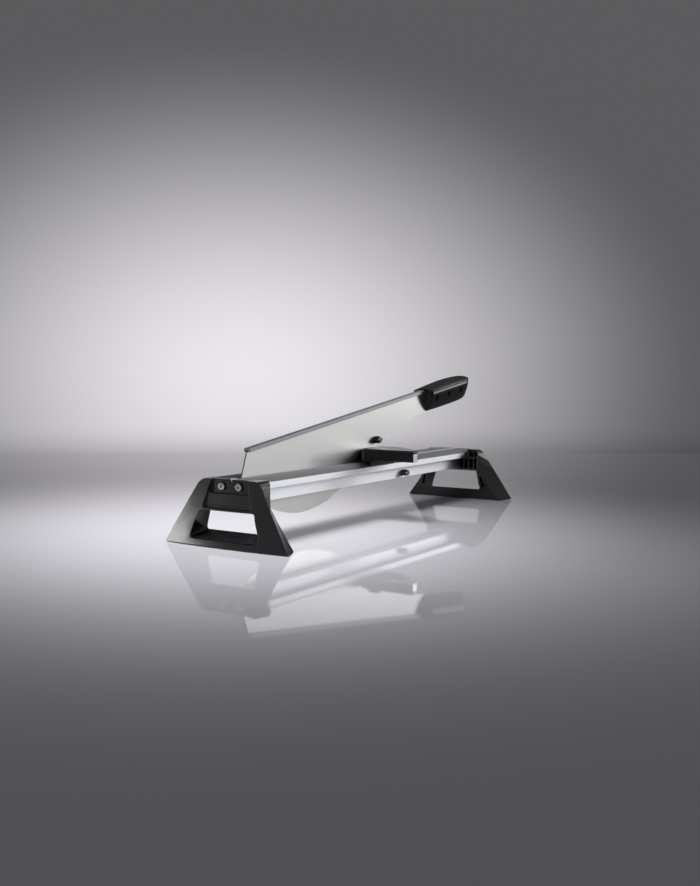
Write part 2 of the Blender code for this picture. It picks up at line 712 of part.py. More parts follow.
def build_rail(name, side, base, metal):
    rail = add_object(name, prism(rail_outline(side), "X", -RAIL_END_U, RAIL_END_U), metal, base)
    past = RAIL_END_U + OVERRUN
    y = sorted((side * (SLOT_HALF + SLOT_WALL), side * (WEB_OUTER - RAIL_WALL)))
    chamber_top = CHANNEL_Z - CHANNEL_RADIUS - CHANNEL_LAND
    combine(rail, block((-past, past), y, (RAIL_BOTTOM + RAIL_WALL, chamber_top)))
    channel = cylinder(CHANNEL_RADIUS, -past, past, SMALL_STEPS)
    combine(rail, along_x(channel, side * CHANNEL_Y, CHANNEL_Z))
    hole = cylinder(PIVOT_RADIUS + GAP, -DECK_REAR_REACH, DECK_REAR_REACH, ROUND_STEPS)
    if side < 0:
        hole = cylinder(PIVOT_RADIUS + GAP, 0, SLOT_HALF + SLOT_WALL + OVERRUN, ROUND_STEPS)
    combine(rail, along_y(hole, -PIVOT_X, PIVOT_Z))
    return rail


def build_rails(base, metal):
    front = build_rail("rail_front", -1, base, metal)
    build_rail("rail_rear", 1, base, metal)
    hole = cylinder(STOP_SHANK_RADIUS + GAP, WEB_OUTER - RAIL_WALL - OVERRUN, WEB_OUTER + OVERRUN, SMALL_STEPS)
    combine(front, along_y(hole, STUD_X, STUD_Z))
    pivot_x = FENCE_FACE_X + FENCE_NOSE_RADIUS
    bore = cylinder(FENCE_SCREW_SHANK_RADIUS + GAP, RAIL_BOTTOM + RAIL_WALL, DECK_TOP + OVERRUN, SMALL_STEPS)
    bmesh.ops.translate(bore, verts=bore.verts, vec=(pivot_x, FENCE_PIVOT_Y, 0))
    combine(front, bore)
    for share in BASE_SCREW_SPREAD_SHARES:
        bore = cylinder(
            BASE_SCREW_SHANK_RADIUS + GAP, DECK_TOP - BASE_SCREW_LENGTH - GAP, DECK_TOP + OVERRUN, SMALL_STEPS)
        spot = (BASE_SCREW_X - share * BASE_SCREW_PITCH * 2, FENCE_PIVOT_Y, 0)
        bmesh.ops.translate(bore, verts=bore.verts, vec=spot)
        combine(front, bore)
    tidy(front)


def socket_screw(name, head_radius, head_height, shank_radius, shank_length, socket, mat, parent, tip=None):
    """A screw along Z: head above the origin, shank below it, and a hexagon socket in the head.

    A tip is the radius and length of a thinner threaded end below the shank.
    """
    crown = head_height / 5
    profile = [
        (shank_radius, -shank_length), (shank_radius, 0), (head_radius, 0),
        (head_radius, head_height - crown), (head_radius - crown, head_height), (0, head_height),
    ]
    if tip:
        end = -shank_length - tip[1]
        profile = [(0, end), (tip[0], end), (tip[0], -shank_length)] + profile
    else:
        profile = [(0, -shank_length)] + profile
    screw = add_object(name, turned(profile, SMALL_STEPS), mat, parent)
    combine(screw, hexagon(socket, head_height / 3, head_height + OVERRUN))
    return screw


def hex_nut(name, flats, bore, height, mat, parent):
    nut = add_object(name, hexagon(flats, 0, height), mat, parent)
    combine(nut, cylinder(bore, -OVERRUN, height + OVERRUN, SMALL_STEPS))
    return nut


def sleeve(name, outer, bore, length, mat, parent, steps=ROUND_STEPS):
    edge = min(EDGE_BREAK, (outer - bore) / 4, length / 4)
    profile = (
        (bore, 0), (outer - edge, 0), (outer, edge), (outer, length - edge), (outer - edge, length), (bore, length),
    )
    return add_object(name, turned(profile, steps), mat, parent)


def face_front(obj, x, y, z):
    """Turn a piece made along Z so that its upper end looks to the front, and set its origin."""
    obj.rotation_euler = (math.pi / 2, 0, 0)
    obj.location = (x, y, z)


def face_rear(obj, x, y, z):
    obj.rotation_euler = (-math.pi / 2, 0, 0)
    obj.location = (x, y, z)


def build_foot_screws(base, metal):
    for end, x_side in (("left", -1), ("right", 1)):
        for place, y_side in (("front", -1), ("rear", 1)):
            screw = socket_screw(
                f"foot_screw_{end}_{place}", FOOT_SCREW_HEAD_RADIUS, FOOT_SCREW_HEAD_HEIGHT,
                FOOT_SCREW_SHANK_RADIUS, FOOT_SCREW_LENGTH, FOOT_SCREW_SOCKET, metal, base)
            screw.rotation_euler = (0, x_side * math.pi / 2, 0)
            seat = FACE_U - FOOT_SCREW_SEAT_DEPTH + GAP
            screw.location = (x_side * seat, y_side * CHANNEL_Y, CHANNEL_Z)


def build_pivot(base, lever, steel, brass, nylon):
    """Shoulder bolt from the rear, nut in the front rail's chamber, bush in the blade, washers beside it."""
    bolt = socket_screw(
        "pivot_bolt", PIVOT_HEAD_RADIUS, PIVOT_HEAD_HEIGHT, PIVOT_RADIUS,
        WEB_OUTER + SLOT_HALF + SLOT_WALL + GAP, PIVOT_SOCKET, steel, base,
        tip=(PIVOT_TIP_RADIUS, PIVOT_NUT_HEIGHT + EDGE_BREAK))
    face_rear(bolt, -PIVOT_X, WEB_OUTER + GAP, PIVOT_Z)
    nut = hex_nut("pivot_nut", PIVOT_NUT_FLATS, PIVOT_TIP_RADIUS + GAP, PIVOT_NUT_HEIGHT, steel, base)
    face_front(nut, -PIVOT_X, -SLOT_HALF - SLOT_WALL - GAP, PIVOT_Z)
    half_blade = BLADE_THICKNESS / 2
    washer_room = SLOT_HALF - half_blade - WASHER_CLEAR - GAP
    bush_length = BLADE_THICKNESS
    bush = sleeve("pivot_bush", BUSH_RADIUS, PIVOT_RADIUS + BUSH_CLEAR, bush_length, brass, lever)
    face_front(bush, 0, half_blade, 0)
    for place, turn, side in (("front", face_front, -1), ("rear", face_rear, 1)):
        washer = sleeve(f"pivot_washer_{place}", WASHER_RADIUS, PIVOT_RADIUS + GAP, washer_room, nylon, base)
        turn(washer, -PIVOT_X, side * (half_blade + GAP), PIVOT_Z)


def blade_contour():
    """Side view of the blade: heel round the pivot, belly with the cutting edge, web and tang in the grip.

    Returns the points and, for each, how far the ground bevel draws it in.
    """
    points = [(p, 0.0) for p in arc((0, 0), HEEL_RADIUS, HEEL_START, HEEL_END, HEEL_STEPS)]
    for along, down in BELLY_SHARES:
        points.append(((EDGE_LENGTH * along, BELLY_DEPTH * down), 1.0))
    edge_end_z = BELLY_DEPTH * BELLY_SHARES[-1][1]
    for along, up in WEB_SHARES:
        x = EDGE_LENGTH + (WEB_END_X - EDGE_LENGTH) * along
        points.append(((x, edge_end_z + (WEB_END_Z - edge_end_z) * up), 0.0))
    points.append(((WEB_END_X - GAP, WEB_END_Z), 0.0))
    points.append(((WEB_END_X - GAP, TANG_BOTTOM_Z), 0.0))
    points.append(((TANG_END_X, TANG_BOTTOM_Z), 0.0))
    tang_top = SPINE_Z - LIP_WALL
    points.append(((TANG_END_X, tang_top), 0.0))
    points.append(((WEB_END_X - GAP, tang_top), 0.0))
    points.append(((WEB_END_X - GAP, SPINE_Z + BLADE_SEAT), 0.0))
    points.append(((BLADE_BACK_TOP_X, SPINE_Z + BLADE_SEAT), 0.0))
    points.append(((BLADE_BACK_LOW_X, BLADE_BACK_LOW_Z), 0.0))
    return points


def blade_rings():
    """Front face, then the thin land, then the rear face with the ground bevel drawn in along the edge."""
    contour = blade_contour()
    half = BLADE_THICKNESS / 2
    count = len(contour)
    front = []
    land = []
    rear = []
    for i, (point, bevel) in enumerate(contour):
        before = Vector(contour[i - 1][0])
        after = Vector(contour[(i + 1) % count][0])
        here = Vector(point)
        inward = (after - before).normalized()
        inward = Vector((-inward.y, inward.x))
        moved = here + inward * BEVEL_WIDTH * bevel
        front.append((point[0], -half, point[1]))
        land.append((point[0], BEVEL_LAND - half if bevel else 0.0, point[1]))
        rear.append((moved.x, half, moved.y))
    return [front, land, rear]


def build_blade(lever, steel):
    blade = add_object("blade", loft(blade_rings()), steel, lever)
    through = BLADE_THICKNESS
    combine(blade, along_y(cylinder(BUSH_RADIUS + GAP, -through, through)))
    stop = cylinder(STOP_SHANK_RADIUS + GAP, -through, through, SMALL_STEPS)
    combine(blade, along_y(stop, STOP_X, STOP_Z))
    for k in range(GRIP_SCREW_COUNT):
        hole = cylinder(GRIP_SCREW_SHANK_RADIUS + GAP, -through, through, SMALL_STEPS)
        combine(blade, along_y(hole, GRIP_SCREW_FIRST_X + k * GRIP_SCREW_PITCH, GRIP_SCREW_Z))
    return tidy(blade)


def spine_outline():
    """Section of the spine in (y, z): grooved top, and the slot under it that the blade's back sits in."""
    half = SPINE_WIDTH / 2
    slot = BLADE_THICKNESS / 2 + SPINE_CLEAR
    top = SPINE_Z + SPINE_HEIGHT
    points = [
        (-slot, SPINE_Z), (-slot, SPINE_Z + BLADE_SEAT + GAP), (slot, SPINE_Z + BLADE_SEAT + GAP),
        (slot, SPINE_Z), (half, SPINE_Z), (half, top),
    ]
    pitch = SPINE_WIDTH / (2 * SPINE_GROOVES + 1)
    for k in range(SPINE_GROOVES):
        start = half - pitch * (2 * k + 1)
        points.append((start, top))
        points.append((start, top - SPINE_GROOVE_DEPTH))
        points.append((start - pitch, top - SPINE_GROOVE_DEPTH))
        points.append((start - pitch, top))
    points += [(-half, top), (-half, SPINE_Z)]
    return points


def build_spine(lever, metal):
    start = BLADE_BACK_TOP_X + GAP
    add_object("spine", prism(spine_outline(), "X", start, GRIP_START_X - GAP), metal, lever)


def grip_taper(x):
    """How far the far end of the grip has rounded off at x: 1 along the grip, 0 at its very end."""
    over = (x - (GRIP_END_X - GRIP_NOSE)) / GRIP_NOSE
    if over <= 0:
        return 1.0
    return math.sqrt(max(1 - over ** 2, 0))


def grip_stations():
    straight = GRIP_END_X - GRIP_NOSE
    stations = [GRIP_START_X + (straight - GRIP_START_X) * k / 4 for k in range(5)]
    for k in range(1, GRIP_STATIONS - 4):
        angle = math.pi / 2 * k / (GRIP_STATIONS - 5)
        stations.append(straight + GRIP_NOSE * math.sin(angle) * GRIP_NOSE_SHARE)
    return stations


def grip_belly(x):
    """How far the underside of the grip swells at x, most where the little finger lies."""
    share = (x - GRIP_START_X) / (GRIP_END_X - GRIP_START_X)
    reach = GRIP_BELLY_SHARE if share < GRIP_BELLY_SHARE else 1 - GRIP_BELLY_SHARE
    return GRIP_BELLY * (1 - ((share - GRIP_BELLY_SHARE) / reach) ** 2)


def grip_ring(x, side):
    """Half section of the grip at x, from the split plane out to the side and back."""
    taper = grip_taper(x)
    height = GRIP_SHOULDER_Z - GRIP_BOTTOM_Z
    toe_rise = height * GRIP_TOE_RISE_SHARE * (1 - taper)
    width = GRIP_HALF_WIDTH * (GRIP_END_WIDTH_SHARE + (1 - GRIP_END_WIDTH_SHARE) * taper)
    low = GRIP_BOTTOM_Z + toe_rise - grip_belly(x)
    section = [(GAP / 2, low)]
    for out, up in GRIP_SIDE_SHARES:
        section.append((width * out, low + (GRIP_SHOULDER_Z - low) * up))
    section.append((GAP / 2, GRIP_SHOULDER_Z))
    slant = GRIP_END_SLANT_SHARE * max(x - (GRIP_END_X - GRIP_NOSE), 0) / GRIP_NOSE
    return [(x - slant * (GRIP_SHOULDER_Z - z), side * y, z) for y, z in section]


def build_grip_half(name, side, lever, plastic):
    half = add_object(name, loft([grip_ring(x, side) for x in grip_stations()]), plastic, lever)
    deep = BLADE_THICKNESS / 2 + GAP
    y = sorted((side * -deep, side * deep))
    tang = block((GRIP_START_X - OVERRUN, TANG_END_X + GAP), y, (TANG_BOTTOM_Z - GAP, SPINE_Z - LIP_WALL + GAP))
    combine(half, tang)
    for k in range(GRIP_SCREW_COUNT):
        x = GRIP_SCREW_FIRST_X + k * GRIP_SCREW_PITCH
        hole = cylinder(GRIP_SCREW_SHANK_RADIUS + GAP, -GRIP_HALF_WIDTH, GRIP_HALF_WIDTH, SMALL_STEPS)
        combine(half, along_y(hole, x, GRIP_SCREW_Z))
        out = GRIP_HALF_WIDTH + OVERRUN
        if side < 0:
            well = cylinder(GRIP_WELL_RADIUS, GRIP_SCREW_SEAT, out, SMALL_STEPS)
        else:
            well = hexagon(GRIP_NUT_FLATS + 2 * GAP, -out, -GRIP_SCREW_SEAT)
        combine(half, along_y(well, x, GRIP_SCREW_Z))
    return tidy(half)


def cap_bow(x):
    share = (x - GRIP_START_X) / (GRIP_END_X - GRIP_START_X)
    return CAP_BOW * math.sin(math.pi * min(max(share, 0), 1))


def cap_swell(x):
    """How high the cap stands at x as a share of its full height: rounded at the lip and at the far end."""
    over = min((x - (GRIP_START_X - CAP_LIP)) / CAP_LIP_ROUND, 1)
    lip = CAP_LIP_SHARE + (1 - CAP_LIP_SHARE) * math.sqrt(1 - (1 - over) ** 2)
    return lip * (CAP_END_SHARE + (1 - CAP_END_SHARE) * grip_taper(x))


def cap_ring(x):
    """Section of the cap at x: flat seat, rounded shoulders, crowned top with lengthwise grooves."""
    taper = grip_taper(x)
    half = CAP_HALF_WIDTH * (GRIP_END_WIDTH_SHARE + (1 - GRIP_END_WIDTH_SHARE) * taper)
    seat = GRIP_SHOULDER_Z + GAP
    height = (CAP_HEIGHT + cap_bow(x)) * cap_swell(x)
    side = [(half * out, seat + height * up) for out, up in CAP_SIDE_SHARES]
    crown_half, crown_z = side[-1]
    grooved = half * CAP_GROOVED_SHARE
    pitch = 2 * grooved / CAP_GROOVES
    depth = CAP_GROOVE_DEPTH * taper

    def crown(y):
        return crown_z + (seat + height - crown_z) * (1 - (y / crown_half) ** 2)

    ring = list(side)
    for k in range(CAP_GROOVES):
        left = grooved - k * pitch
        middle = left - pitch / 2
        ring.append((left, crown(left)))
        ring.append((left - pitch / 4, crown(left - pitch / 4) - depth))
        ring.append((middle, crown(middle) - depth))
    ring.append((-grooved, crown(-grooved)))
    ring += [(-y, z) for y, z in reversed(side)]
    return [(x, y, z) for y, z in ring]


def build_cap(lever, soft):
    """The cap, from its lip over the spine's end to the rounded end of the grip."""
    start = GRIP_START_X - CAP_LIP
    stations = [start, start + CAP_LIP_ROUND * 0.12, start + CAP_LIP_ROUND * 0.45, start + CAP_LIP_ROUND]
    cap = add_object("grip_cap", loft([cap_ring(x) for x in stations + grip_stations()]), soft, lever)
    half = SPINE_WIDTH / 2 + GAP
    notch = block(
        (start - OVERRUN, GRIP_START_X), (-half, half),
        (GRIP_SHOULDER_Z - OVERRUN, SPINE_Z + SPINE_HEIGHT + GAP))
    combine(cap, notch)
    return tidy(cap)


def build_grip(lever, plastic, soft, bright):
    build_grip_half("grip_front", -1, lever, plastic)
    build_grip_half("grip_rear", 1, lever, plastic)
    build_cap(lever, soft)
    shank = 2 * GRIP_SCREW_SEAT + GRIP_NUT_HEIGHT
    for k in range(GRIP_SCREW_COUNT):
        x = GRIP_SCREW_FIRST_X + k * GRIP_SCREW_PITCH
        screw = socket_screw(
            f"grip_screw_{k + 1}", GRIP_SCREW_HEAD_RADIUS, GRIP_SCREW_HEAD_HEIGHT,
            GRIP_SCREW_SHANK_RADIUS, shank, FOOT_SCREW_SOCKET, bright, lever)
        face_front(screw, x, -GRIP_SCREW_SEAT - GAP, GRIP_SCREW_Z)
        nut = hex_nut(
            f"grip_nut_{k + 1}", GRIP_NUT_FLATS, GRIP_SCREW_SHANK_RADIUS + GAP, GRIP_NUT_HEIGHT, bright, lever)
        face_rear(nut, x, GRIP_SCREW_SEAT + GAP, GRIP_SCREW_Z)


def build_studs(base, lever, rubber, bright, steel):
    """Stop stud on the blade and anchor stud on the front rail: a black sleeve on a bright socket screw."""
    half = BLADE_THICKNESS / 2
    stop_sleeve = sleeve(
        "stop_sleeve", STOP_RADIUS, STOP_SHANK_RADIUS + GAP, STOP_SLEEVE_LENGTH, rubber, lever, SMALL_STEPS)
    face_front(stop_sleeve, STOP_X, -half - GAP, STOP_Z)
    reach = half + STOP_SLEEVE_LENGTH + 2 * GAP
    screw = socket_screw(
        "stop_screw", STOP_HEAD_RADIUS, STOP_HEAD_HEIGHT, STOP_SHANK_RADIUS,
        reach + half + STOP_NUT_HEIGHT + GAP, STOP_SOCKET, bright, lever)
    face_front(screw, STOP_X, -reach, STOP_Z)
    nut = hex_nut("stop_nut", STOP_NUT_FLATS, STOP_SHANK_RADIUS + GAP, STOP_NUT_HEIGHT, steel, lever)
    face_rear(nut, STOP_X, half + GAP, STOP_Z)

    stud = sleeve(
        "anchor_sleeve", STUD_RADIUS, STOP_SHANK_RADIUS + GAP, STUD_SLEEVE_LENGTH, rubber, base, SMALL_STEPS)
    face_front(stud, STUD_X, -WEB_OUTER - GAP, STUD_Z)
    screw = socket_screw(
        "anchor_screw", STOP_HEAD_RADIUS, STOP_HEAD_HEIGHT, STOP_SHANK_RADIUS, STUD_SHANK_LENGTH,
        STOP_SOCKET, bright, base)
    face_front(screw, STUD_X, -WEB_OUTER - STUD_SLEEVE_LENGTH - 2 * GAP, STUD_Z)


def fence_plan():
    """Plan of the fence body: straight stop face, round nose at the pivot, back that sweeps to the free end."""
    centre = (FENCE_FACE_X + FENCE_NOSE_RADIUS, FENCE_PIVOT_Y)
    nose = arc(centre, FENCE_NOSE_RADIUS, math.pi, math.pi / 2, 6)
    root_y = FENCE_PIVOT_Y + FENCE_NOSE_RADIUS
    free_x = FENCE_FACE_X + FENCE_SKIN + FENCE_BAR_WIDTH
    points = nose + [(FENCE_ROOT_X, root_y), (FENCE_BACK_X, root_y + FENCE_FACE_X / 4), (FENCE_BACK_X, FENCE_BACK_Y)]
    for out, along in FENCE_BACK_SHARES:
        x = free_x + (FENCE_BACK_X - free_x) * out
        points.append((x, FENCE_BACK_Y + (FENCE_FREE_Y - FENCE_BACK_Y) * along))
    points += [(free_x, FENCE_FREE_Y), (FENCE_FACE_X, FENCE_FREE_Y)]
    return points


def inset_plan(points, wall):
    """Draw a closed plan outline in by a wall, each point along the middle of its two edges' normals."""
    count = len(points)
    moved = []
    for i, point in enumerate(points):
        here = Vector(point)
        ahead = (Vector(points[(i + 1) % count]) - here).normalized()
        back = (here - Vector(points[i - 1])).normalized()
        normal = Vector((ahead.y + back.y, -ahead.x - back.x)).normalized()
        stretch = max(normal.dot(Vector((ahead.y, -ahead.x))), 0.5)
        moved.append(tuple(here + normal * wall / stretch))
    return moved


def build_fence(base, pivot, plastic, metal, steel):
    """Swivelling stop: moulded body with an aluminium bar in it, on a base plate shaped to the deck."""
    pivot_x = FENCE_FACE_X + FENCE_NOSE_RADIUS
    shift = Vector((-pivot_x, -FENCE_PIVOT_Y, 0))

    def local(bm):
        bmesh.ops.translate(bm, verts=bm.verts, vec=shift)
        return bm

    plan = fence_plan()
    crown = inset_plan(plan, FENCE_HOLLOW_WALL)
    rings = [
        [(x, y, FENCE_BOTTOM) for x, y in plan],
        [(x, y, FENCE_TOP) for x, y in plan],
        [(x, y, FENCE_TOP + FENCE_CROWN) for x, y in crown],
    ]
    body = add_object("fence_body", local(loft(rings)), plastic, pivot)
    bar_x = (FENCE_FACE_X + FENCE_SKIN, FENCE_FACE_X + FENCE_SKIN + FENCE_BAR_WIDTH)
    bar_top = FENCE_TOP - FENCE_CAP_WALL
    channel = block(
        (bar_x[0], bar_x[1] + OVERRUN), (FENCE_FREE_Y - OVERRUN, FENCE_BAR_ROOT_Y),
        (FENCE_BOTTOM - OVERRUN, bar_top))
    combine(body, local(channel))
    hollow = fence_hollow(bar_x[1])
    combine(body, local(prism(hollow, "Z", FENCE_BOTTOM - OVERRUN, bar_top)))
    bore = cylinder(FENCE_SCREW_SHANK_RADIUS + GAP, FENCE_BOTTOM - OVERRUN, FENCE_TOP, SMALL_STEPS)
    combine(body, bore)
    well = cylinder(
        FENCE_SCREW_HEAD_RADIUS + GAP, FENCE_TOP - FENCE_SCREW_RECESS, FENCE_TOP + 2 * OVERRUN, SMALL_STEPS)
    combine(body, well)
    tidy(body)

    bar = block(
        (bar_x[0] + GAP, bar_x[1]), (FENCE_FREE_Y + GAP, FENCE_BAR_ROOT_Y - GAP), (FENCE_BOTTOM, bar_top - GAP))
    add_object("fence_bar", local(bar), metal, pivot)

    screw = socket_screw(
        "fence_screw", FENCE_SCREW_HEAD_RADIUS, FENCE_SCREW_HEAD_HEIGHT, FENCE_SCREW_SHANK_RADIUS,
        FENCE_SCREW_LENGTH, FENCE_SCREW_SOCKET, steel, base)
    screw.location = (pivot_x, FENCE_PIVOT_Y, FENCE_TOP - FENCE_SCREW_RECESS + GAP)
    nut = hex_nut(
        "fence_nut", FENCE_NUT_FLATS, FENCE_SCREW_SHANK_RADIUS + GAP, FENCE_NUT_HEIGHT, steel, base)
    chamber_top = CHANNEL_Z - CHANNEL_RADIUS - CHANNEL_LAND
    nut.location = (pivot_x, FENCE_PIVOT_Y, chamber_top - FENCE_NUT_HEIGHT - GAP)


def fence_hollow(bar_back):
    """Hollow under the wing of the fence body, behind the bar and clear of the pivot boss."""
    wall = FENCE_HOLLOW_WALL
    start_x = max(bar_back, FENCE_FACE_X + FENCE_NOSE_RADIUS + FENCE_BOSS_RADIUS)
    root_y = FENCE_PIVOT_Y + FENCE_NOSE_RADIUS
    free_x = FENCE_FACE_X + FENCE_SKIN + FENCE_BAR_WIDTH
    back = []
    for out, along in FENCE_BACK_SHARES[:FENCE_HOLLOW_POINTS]:
        x = free_x + (FENCE_BACK_X - free_x) * out - wall
        back.append((x, FENCE_BACK_Y + (FENCE_FREE_Y - FENCE_BACK_Y) * along))
    return [
        (start_x, root_y - wall), (FENCE_ROOT_X - wall, root_y - wall),
        (FENCE_BACK_X - wall, FENCE_BACK_Y), *back, (start_x, back[-1][1]),
    ]


def build_fence_base(base, plastic, steel):
    """Plate shaped to the deck's flat and slope, with an ear that runs out to the deck's front edge."""
    pivot_x = FENCE_FACE_X + FENCE_NOSE_RADIUS
    inner_y = -SLOT_HALF - EDGE_BREAK
    front_y = -DECK_FRONT_REACH
    flat_z = DECK_TOP + GAP
    lip_z = LIP_TOP + GAP
    slope_y = -DECK_FRONT_FLAT
    profile = ((inner_y, flat_z), (inner_y, BASE_TOP), (front_y, BASE_TOP), (front_y, lip_z), (slope_y, flat_z))
    plate = add_object("fence_base", prism(profile, "X", FENCE_FACE_X, BASE_END_X), plastic, base)
    drop = (flat_z - BASE_EAR_TOP) / (flat_z - lip_z)
    ear_y = slope_y + (front_y - slope_y) * drop
    ear = ((front_y, lip_z), (front_y, BASE_EAR_TOP), (ear_y, BASE_EAR_TOP))
    wedge = prism(ear, "X", BASE_EAR_X, FENCE_FACE_X + OVERRUN)
    bmesh.ops.bisect_plane(
        wedge, geom=list(wedge.verts) + list(wedge.edges) + list(wedge.faces), dist=0,
        plane_co=(BASE_EAR_X, front_y, 0),
        plane_no=(ear_y - front_y, BASE_EAR_X - BASE_EAR_INNER_X, 0), clear_inner=True)
    bmesh.ops.holes_fill(wedge, edges=wedge.edges, sides=0)
    combine(plate, wedge, "UNION")
    bore = cylinder(FENCE_SCREW_SHANK_RADIUS + GAP, RAIL_BOTTOM, FENCE_TOP, SMALL_STEPS)
    bmesh.ops.translate(bore, verts=bore.verts, vec=(pivot_x, FENCE_PIVOT_Y, 0))
    combine(plate, bore)
    for k, share in enumerate(BASE_SCREW_SPREAD_SHARES):
        spot = Vector((BASE_SCREW_X - share * BASE_SCREW_PITCH * 2, FENCE_PIVOT_Y, 0))
        seat = BASE_TOP - BASE_SCREW_HEAD_HEIGHT - GAP
        for radius, low in ((BASE_SCREW_SHANK_RADIUS + GAP, RAIL_BOTTOM), (BASE_SCREW_HEAD_RADIUS + GAP, seat)):
            bore = cylinder(radius, low, FENCE_TOP, SMALL_STEPS)
            bmesh.ops.translate(bore, verts=bore.verts, vec=spot)
            combine(plate, bore)
        screw = socket_screw(
            f"base_screw_{k + 1}", BASE_SCREW_HEAD_RADIUS, BASE_SCREW_HEAD_HEIGHT - GAP,
            BASE_SCREW_SHANK_RADIUS, BASE_SCREW_LENGTH, BASE_SCREW_SHANK_RADIUS * 1.5, steel, base)
        screw.location = spot + Vector((0, 0, seat + GAP))
    tidy(plate)


def build():
    start_empty()
    black_plastic = material("black_plastic", (0.018, 0.018, 0.02), 0.38, 0.0)
    soft_black = material("soft_black", (0.025, 0.025, 0.027), 0.55, 0.0)
    rubber = material("rubber", (0.02, 0.02, 0.02), 0.8, 0.0)
    aluminium = material("aluminium", (0.76, 0.77, 0.78), 0.32, 1.0)
    blade_steel = material("blade_steel", (0.72, 0.73, 0.72), 0.28, 1.0)
    zinc_steel = material("zinc_steel", (0.62, 0.62, 0.6), 0.3, 1.0)
    brass = material("brass", (0.75, 0.55, 0.25), 0.35, 1.0)
    nylon = material("nylon", (0.75, 0.74, 0.7), 0.5, 0.0)

    base = empty("base_middle", location=(BASE_X, 0, 0))
    lever = empty("lever_pivot", base, (-PIVOT_X, 0, PIVOT_Z), -LEVER_SLOPE)
    fence = empty("fence_pivot", base, (FENCE_FACE_X + FENCE_NOSE_RADIUS, FENCE_PIVOT_Y, 0))
    bpy.context.view_layer.update()

    build_feet(base, black_plastic, rubber)
    build_rails(base, aluminium)
    build_foot_screws(base, zinc_steel)
    build_pivot(base, lever, zinc_steel, brass, nylon)
    build_blade(lever, blade_steel)
    build_spine(lever, aluminium)
    build_grip(lever, black_plastic, soft_black, zinc_steel)
    build_studs(base, lever, rubber, zinc_steel, zinc_steel)
    build_fence_base(base, black_plastic, zinc_steel)
    build_fence(base, fence, black_plastic, aluminium, zinc_steel)
    bpy.context.view_layer.update()


build()
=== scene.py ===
"""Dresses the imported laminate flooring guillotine: finishes, rounded edges, small details, light and camera."""
import json
import math

import bmesh
import bpy
from mathutils import Matrix, Vector

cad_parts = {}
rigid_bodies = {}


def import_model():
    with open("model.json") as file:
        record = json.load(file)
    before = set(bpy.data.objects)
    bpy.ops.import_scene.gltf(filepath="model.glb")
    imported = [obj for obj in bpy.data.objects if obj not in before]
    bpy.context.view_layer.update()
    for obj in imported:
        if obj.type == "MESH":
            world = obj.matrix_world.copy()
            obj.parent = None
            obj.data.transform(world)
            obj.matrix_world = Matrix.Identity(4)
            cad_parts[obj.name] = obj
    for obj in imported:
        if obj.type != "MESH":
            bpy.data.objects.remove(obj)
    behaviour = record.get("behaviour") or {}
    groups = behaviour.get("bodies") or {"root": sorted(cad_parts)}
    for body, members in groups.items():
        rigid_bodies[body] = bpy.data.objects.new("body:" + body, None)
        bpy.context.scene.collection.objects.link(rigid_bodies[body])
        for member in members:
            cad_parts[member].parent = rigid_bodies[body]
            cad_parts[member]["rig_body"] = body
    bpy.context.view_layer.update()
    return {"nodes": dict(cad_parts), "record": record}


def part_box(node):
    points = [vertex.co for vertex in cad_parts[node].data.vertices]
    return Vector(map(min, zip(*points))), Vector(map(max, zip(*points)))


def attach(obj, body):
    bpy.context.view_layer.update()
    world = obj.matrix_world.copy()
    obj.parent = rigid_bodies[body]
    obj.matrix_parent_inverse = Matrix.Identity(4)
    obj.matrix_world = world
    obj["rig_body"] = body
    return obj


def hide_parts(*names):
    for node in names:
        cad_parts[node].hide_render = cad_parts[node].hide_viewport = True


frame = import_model()

MM = 0.001

# The tool's own stations, in the row frame
rail_low, rail_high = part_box("rail_front")
BASE_X = (rail_low.x + rail_high.x) / 2
LEVER_SLOPE = math.radians(8.4)
DECK_TOP = 87.8 * MM

# Dark dots along the blade slot on the front rail
DOT_COUNT = 5
DOT_SIDES = 16
DOT_FIRST_X = -229 * MM
DOT_PITCH = 16.4 * MM
DOT_Y = -4.4 * MM
DOT_RADIUS = 1 * MM
DOT_RAISE = 0.04 * MM

# Edge radii of the finished pieces
MOULDED_EDGE = 0.6 * MM
EXTRUDED_EDGE = 0.3 * MM
TURNED_EDGE = 0.25 * MM
EDGE_SEGMENTS = 2

# How a CAD node's copy is cleaned and shaded
WELD = 0.03 * MM
FLAT_ANGLE = math.radians(0.6)
CREASE_ANGLE = math.radians(28)

# Which faces of a piece take its second finish, by their normals
CUT_EDGE_LIMIT = 0.5
UPWARD_LIMIT = 0.4

# Moulded grain: its bump, and the slow change of gloss over a patch this wide
GRAIN_BUMP = 0.35
GLOSS_PATCH = 40 * MM
GLOSS_BELOW = 0.03
GLOSS_ABOVE = 0.05

# Die and grinding lines: their spacing, and how far they stretch a reflection and themselves
DIE_LINE = 0.5 * MM
GRINDING_LINE = 0.4 * MM
LINE_STRETCH = 0.95
LINE_LENGTHENED = 0.012
LINE_BUMP = 0.02

# Camera and table, as the photograph's perspective gives them
VIEW_YAW = 0.583
VIEW_PITCH = 0.071
VIEW_SPOT = (-1.28137 + BASE_X, -0.82143, 0.22463)
TABLE_HALF = 2.5
TABLE_EDGE = 1.2

# The lit patch of wall behind the tool, and the room round it
PATCH_YAW = VIEW_YAW + math.radians(6)
PATCH_FLATTENED = (1, 1, 1.5)
PATCH_REACH = math.radians(27)
PATCH_LIGHT = 0.84
WALL_LIGHT = 0.11
WALL_FOOT = (-0.115, -0.05)
WALL_FOOT_SHARE = 0.35
ROOM_FROM = math.radians(60)
ROOM_TO = math.radians(110)
ROOM_LIGHT = 0.22


